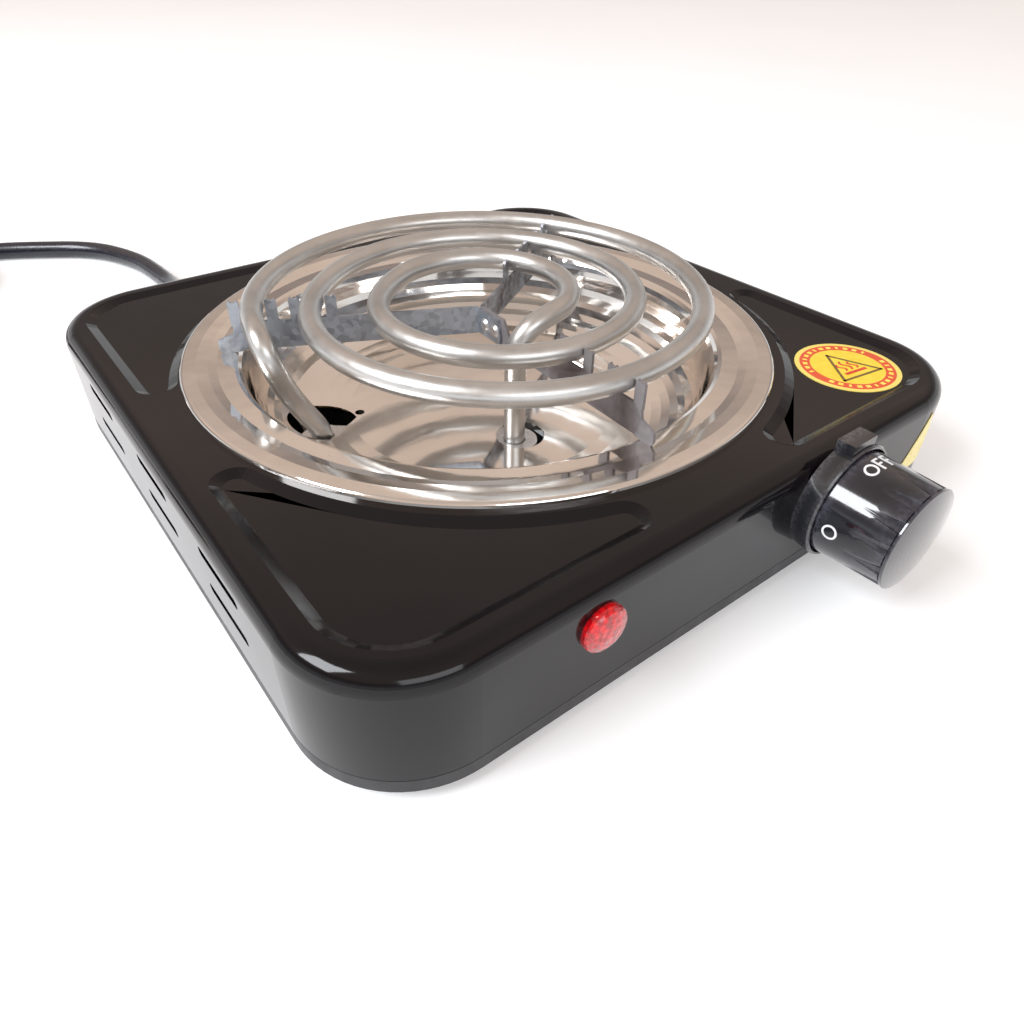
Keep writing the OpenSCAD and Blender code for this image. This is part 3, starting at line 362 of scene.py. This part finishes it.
MATERIALS = {
    "black_enamel": enamel("black_enamel"),
    "black_paint": plain("black_paint", (0.012, 0.012, 0.014), (0.022, 0.022, 0.025),
                         60, (0.35, 0.5), 0.2, 900),
    "zinc": plain("zinc", (0.55, 0.56, 0.58), (0.68, 0.68, 0.70),
                  180, (0.28, 0.42), 0.15, metal=1.0, worn=(0.85, 0.85, 0.86)),
    "rubber": plain("rubber", (0.018, 0.018, 0.018), (0.032, 0.031, 0.030),
                    220, (0.65, 0.85), 0.4, 1800),
    "chrome": chrome("chrome"),
    "element_sheath": sheath("element_sheath"),
    "ceramic": plain("ceramic", (0.82, 0.79, 0.72), (0.90, 0.88, 0.82), 300, (0.5, 0.7), 0.3, 2500),
    "nickel_pin": plain("nickel_pin", (0.55, 0.54, 0.50), (0.66, 0.65, 0.61),
                        300, (0.22, 0.36), 0.1, metal=1.0),
    "brass": plain("brass", (0.62, 0.44, 0.18), (0.74, 0.56, 0.26),
                   160, (0.22, 0.38), 0.12, metal=1.0, worn=(0.90, 0.76, 0.45)),
    "galvanised": spangle("galvanised", (0.20, 0.235, 0.29), (0.40, 0.445, 0.51)),
    "black_plastic": plain("black_plastic", (0.010, 0.011, 0.014), (0.018, 0.019, 0.024),
                           120, (0.16, 0.28), 0.06, 1200, worn=(0.08, 0.08, 0.09), coat=0.5),
    "knob_plastic": plain("knob_plastic", (0.006, 0.007, 0.011), (0.013, 0.014, 0.022),
                          90, (0.10, 0.18), 0.03, 900, worn=(0.05, 0.05, 0.07), coat=0.8),
    "white_print": plain("white_print", (0.80, 0.82, 0.86), (0.90, 0.91, 0.93),
                         900, (0.35, 0.5), 0.2, 3000),
    "spring_steel": plain("spring_steel", (0.52, 0.53, 0.56), (0.62, 0.63, 0.65),
                          240, (0.20, 0.34), 0.1, metal=1.0),
    "copper": plain("copper", (0.72, 0.36, 0.20), (0.85, 0.46, 0.28),
                    200, (0.24, 0.40), 0.12, metal=1.0),
    "bimetal": plain("bimetal", (0.50, 0.42, 0.33), (0.60, 0.52, 0.42),
                     200, (0.26, 0.40), 0.12, metal=1.0),
    "red_lens": lens("red_lens"),
    "white_plastic": plain("white_plastic", (0.78, 0.77, 0.73), (0.88, 0.87, 0.84),
                           150, (0.30, 0.45), 0.12, 1500),
    "lamp_glass": plain("lamp_glass", (0.85, 0.55, 0.40), (0.95, 0.68, 0.52),
                        400, (0.05, 0.12), 0.05, clear=0.6, glow=0.4),
    "brown_sleeve": plain("brown_sleeve", (0.14, 0.055, 0.022), (0.20, 0.085, 0.035),
                          260, (0.35, 0.5), 0.12, 1800),
    "blue_sleeve": plain("blue_sleeve", (0.015, 0.06, 0.30), (0.03, 0.10, 0.42),
                         260, (0.35, 0.5), 0.12, 1800),
    "green_sleeve": plain("green_sleeve", (0.02, 0.20, 0.04), (0.62, 0.62, 0.04),
                          90, (0.35, 0.5), 0.12, 1800),
    "glass_sleeve": plain("glass_sleeve", (0.72, 0.69, 0.60), (0.84, 0.82, 0.74),
                          600, (0.55, 0.75), 0.5, 2400),
    "red_sleeve": plain("red_sleeve", (0.42, 0.02, 0.015), (0.56, 0.04, 0.03),
                        260, (0.35, 0.5), 0.12, 1800),
    "clamp_plastic": plain("clamp_plastic", (0.04, 0.04, 0.042), (0.07, 0.07, 0.072),
                           200, (0.4, 0.55), 0.2, 1500),
    "cord_pvc": plain("cord_pvc", (0.006, 0.008, 0.016), (0.012, 0.014, 0.026),
                      140, (0.22, 0.36), 0.12, 1300, coat=0.3),
    "tie_plastic": plain("tie_plastic", (0.55, 0.55, 0.53), (0.66, 0.66, 0.64),
                         200, (0.35, 0.5), 0.15, 1200),
    "label_yellow": plain("label_yellow", (0.93, 0.80, 0.30), (0.97, 0.86, 0.38),
                          200, (0.25, 0.4), 0.1, 900),
}
DARK_ARM = spangle("dark_arm", (0.09, 0.06, 0.055), (0.17, 0.13, 0.12), rust=0.85)
STAINED_ARM = spangle("stained_arm", (0.17, 0.195, 0.24), (0.36, 0.395, 0.45), rust=0.12)
LABEL_ART = ring_label("label_round")

slot_of = {part["node"]: part["material_slot"] for part in frame["record"]["subparts"]}


def paint(obj, mat):
    if obj.material_slots:
        for s in obj.material_slots:
            s.link = "DATA"
            s.material = mat
    else:
        obj.data.materials.append(mat)


def rounded_shading(limit):
    """Joins split corners, then shades smoothly across edges flatter than the limit."""
    group = bpy.data.node_groups.new("rounded_shading", "GeometryNodeTree")
    group.interface.new_socket("Geometry", in_out="INPUT", socket_type="NodeSocketGeometry")
    group.interface.new_socket("Geometry", in_out="OUTPUT", socket_type="NodeSocketGeometry")
    add = group.nodes.new
    start, end = add("NodeGroupInput"), add("NodeGroupOutput")
    clean = add("GeometryNodeRemoveAttribute")
    clean.inputs["Name"].default_value = "custom_normal"
    merge = add("GeometryNodeMergeByDistance")
    merge.inputs["Distance"].default_value = 2e-6
    soft = add("GeometryNodeSetShadeSmooth")
    hard = add("GeometryNodeSetShadeSmooth")
    hard.domain = "EDGE"
    hard.inputs["Shade Smooth"].default_value = False
    angle = add("GeometryNodeInputMeshEdgeAngle")
    over = add("FunctionNodeCompare")
    over.operation = "GREATER_THAN"
    over.inputs[1].default_value = limit
    group.links.new(angle.outputs["Unsigned Angle"], over.inputs[0])
    group.links.new(over.outputs[0], hard.inputs["Selection"])
    line = [start, clean, merge, soft, hard, end]
    for a, b in zip(line, line[1:]):
        group.links.new(a.outputs[0], b.inputs[0])
    return group


SHADING = rounded_shading(math.radians(28))
for name, obj in nodes.items():
    paint(obj, MATERIALS[slot_of[name]])
    if name in ("plug_body", "knob_body"):
        obj.modifiers.new("rounded_shading", "NODES").node_group = SHADING
paint(cord_obj, MATERIALS["cord_pvc"])
paint(nodes["support_arm_front"], DARK_ARM)
paint(nodes["support_arm_back"], STAINED_ARM)
paint(nodes["caution_label"], LABEL_ART)

# ---------- printed labels ----------


PRINT_T = 0.04 * MM


def print_shape(name, points, z, mat):
    """Flat printed shape with its underside at the height z."""
    n = len(points)
    verts = [(x, y, z) for x, y in points] + [(x, y, z + PRINT_T) for x, y in points]
    faces = [tuple(reversed(range(n))), tuple(range(n, 2 * n))]
    faces += [(i, (i + 1) % n, n + (i + 1) % n, n + i) for i in range(n)]
    obj = new_mesh(name, verts, faces)
    paint(obj, mat)
    return obj


def at_label(u, v):
    """A point of the round label's picture, from its middle, in millimetres. The picture is turned."""
    a = math.radians(-8)
    x = u * math.cos(a) - v * math.sin(a)
    y = u * math.sin(a) + v * math.cos(a)
    return (CAUTION.x + x * MM, CAUTION.y + y * MM)


def outline(name, corners, width, z, mat):
    """Closed outline as separate strokes."""
    for i, (a, b) in enumerate(zip(corners, corners[1:] + corners[:1])):
        d = (Vector(b) - Vector(a)).normalized() * width / 2
        s = Vector((-d.y, d.x))
        quad = [Vector(a) - d + s, Vector(a) - d - s, Vector(b) + d - s, Vector(b) + d + s]
        print_shape(f"{name}_{i + 1}", [at_label(*q) for q in quad], z, mat)


RED_PRINT = plain("red_print", (0.66, 0.05, 0.02), (0.78, 0.08, 0.03), 500, (0.25, 0.4), 0.1, 1500)
DARK_PRINT = plain("dark_print", (0.16, 0.09, 0.02), (0.24, 0.13, 0.03), 500, (0.3, 0.45), 0.1, 1500)
YELLOW_PRINT = plain("yellow_print", (0.95, 0.78, 0.10), (0.98, 0.84, 0.16), 500, (0.25, 0.4), 0.1, 1500)
LABEL_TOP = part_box("caution_label")[1].z + 0.01 * MM


def heat_picture():
    """Triangle with a hot surface and three waves of heat over it."""
    outline("caution_triangle", [(-8.2, -6.2), (8.2, -6.2), (0, 8.4)], 0.9, LABEL_TOP, DARK_PRINT)
    bar = ((-4.6, -4.0), (4.6, -4.0), (4.6, -2.8), (-4.6, -2.8))
    print_shape("caution_bar", [at_label(*p) for p in bar], LABEL_TOP, RED_PRINT)
    width = 0.84
    for i, (u, height) in enumerate(((-2.4, 5.6 * 0.78), (0.0, 5.6), (2.4, 5.6 * 0.78))):
        ts = [k * 0.2 for k in range(13)]
        wave = [(u + 0.75 * math.sin(2.6 * t) - width / 2, -2.0 + height * t / ts[-1]) for t in ts]
        back_wave = [(x + width, y) for x, y in reversed(wave)]
        shape = [at_label(*p) for p in reversed(wave + back_wave)]
        print_shape(f"caution_heat_{i + 1}", shape, LABEL_TOP, RED_PRINT)


def ring_marks(inner=12.3, outer=13.7):
    """Short marks of two lengths round the label, in two groups."""
    for i in range(26):
        middle = 20 + i * 12.2 + (22 if i > 12 else 0)
        half = 3.3 if i % 3 else 1.76
        corners = ((inner, -half), (inner, half), (outer, half), (outer, -half))
        ring = [(r, math.radians(middle + a)) for r, a in corners]
        shape = [at_label(r * math.cos(a), r * math.sin(a)) for r, a in ring]
        print_shape(f"caution_mark_{i + 1:02d}", shape, LABEL_TOP, YELLOW_PRINT)


heat_picture()
ring_marks()

# ---------- heating element ----------

BURNER = Vector((-1.5, 14.25, 0))
TUBE_R = 3.4
SPIRAL_START, FIRST_A, LAST_A = 159, -8, 928
OUTER_LEG, INNER_LEG = (-55.2, 12.2), (-5.4, -26)
LEG_LOW, TURN_R, TURN_PITCH, TURN_Z = 12, 70.4, 20.9, 56.2


def turn_point(a):
    r = TURN_R - TURN_PITCH * (ease((a - 244) / 158) + ease((a - 604) / 158))
    t = math.radians(SPIRAL_START - a)
    return Vector((r * math.cos(t), r * math.sin(t), TURN_Z))


def turn_way(a):
    return (turn_point(a + 1) - turn_point(a - 1)).normalized()


def bezier(a, b, c, d, n):
    a, b, c, d = (Vector(p) for p in (a, b, c, d))
    ts = [i / n for i in range(n)]
    return [(1 - t) ** 3 * a + 3 * (1 - t) ** 2 * t * b + 3 * (1 - t) * t * t * c + t ** 3 * d for t in ts]


def element_line():
    start, end = turn_point(FIRST_A), turn_point(LAST_A)
    line = [Vector((*OUTER_LEG, LEG_LOW))]
    line += bezier((*OUTER_LEG, 14.5), (*OUTER_LEG, 19), (-57.4, 11, 22), (-60.6, 9.2, 27.5), 10)
    line += bezier((-64.5, 6.9, 35), (-68.5, 5.8, 44), start - 13 * turn_way(FIRST_A) + Vector((0, 0, -1.5)),
                   start - 2 * turn_way(FIRST_A), 20)
    line += [turn_point(a) for a in range(FIRST_A, LAST_A + 1, 3)]
    line += bezier(end + 2 * turn_way(LAST_A), end + 13 * turn_way(LAST_A),
                   (INNER_LEG[0], INNER_LEG[1] - 2, 58),
                   (*INNER_LEG, 45), 20)
    line += [Vector((*INNER_LEG, z)) for z in (45, 38, 31, 24, 18, LEG_LOW)]
    return [(BURNER + p) * MM for p in line]


element = tube("element_tube", element_line(), TUBE_R * MM, 32)
paint(element, MATERIALS["element_sheath"])
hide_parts("heating_coil")

# ---------- surroundings ----------


def area_light(name, at, aim, size, power, color):
    data = bpy.data.lights.new(name, "AREA")
    data.shape = "RECTANGLE"
    data.size, data.size_y = size
    data.energy = power
    data.color = color
    obj = bpy.data.objects.new(name, data)
    scene.collection.objects.link(obj)
    obj.location = at
    obj.rotation_euler = (Vector(aim) - Vector(at)).to_track_quat("-Z", "Y").to_euler()


# Tone of the room by the sine of the height above the horizon: white low down, then a duller band, then beige
STUDIO_TONES = ((0.16, (0.95, 0.95, 0.96)), (0.24, (0.46, 0.42, 0.40)), (0.36, (0.36, 0.30, 0.27)),
                (0.50, (0.80, 0.64, 0.54)), (0.80, (0.80, 0.66, 0.57)))


def make_world():
    world = bpy.data.worlds.new("studio")
    world.use_nodes = True
    tree = world.node_tree
    place = tree.nodes.new("ShaderNodeTexCoord")
    split = tree.nodes.new("ShaderNodeSeparateXYZ")
    ramp = tree.nodes.new("ShaderNodeValToRGB")
    tree.links.new(place.outputs["Generated"], split.inputs[0])
    tree.links.new(split.outputs["Z"], ramp.inputs[0])
    marks = ramp.color_ramp.elements
    marks[0].position, marks[0].color = 0.0, (1.0, 1.0, 1.0, 1)
    marks[1].position, marks[1].color = 1.0, (0.62, 0.53, 0.47, 1)
    for height, color in STUDIO_TONES:
        marks.new(height).color = (*color, 1)
    back = tree.nodes["Background"]
    tree.links.new(ramp.outputs[0], back.inputs["Color"])
    back.inputs["Strength"].default_value = 0.85
    scene.world = world


def make_floor():
    size = 8.0
    data = bpy.data.meshes.new("floor")
    corners = [(-size, -size, 0), (size, -size, 0), (size, size, 0), (-size, size, 0)]
    data.from_pydata(corners, [], [(0, 1, 2, 3)])
    obj = bpy.data.objects.new("floor", data)
    scene.collection.objects.link(obj)
    paint(obj, plain("floor_paper", (0.84, 0.86, 0.88), (0.86, 0.88, 0.90), 3, (0.6, 0.7), 0.02, 200,
                     glow=0.35))


make_world()
make_floor()
area_light("key", (-1.5, 0.25, 1.4), (0, 0, 0), (0.9, 0.9), 36, (0.93, 0.96, 1.0))
area_light("front", (-0.4, -1.6, 0.9), (0, 0, 0.02), (1.4, 0.6), 8, (0.90, 0.95, 1.0))
scene.view_settings.view_transform = "Standard"
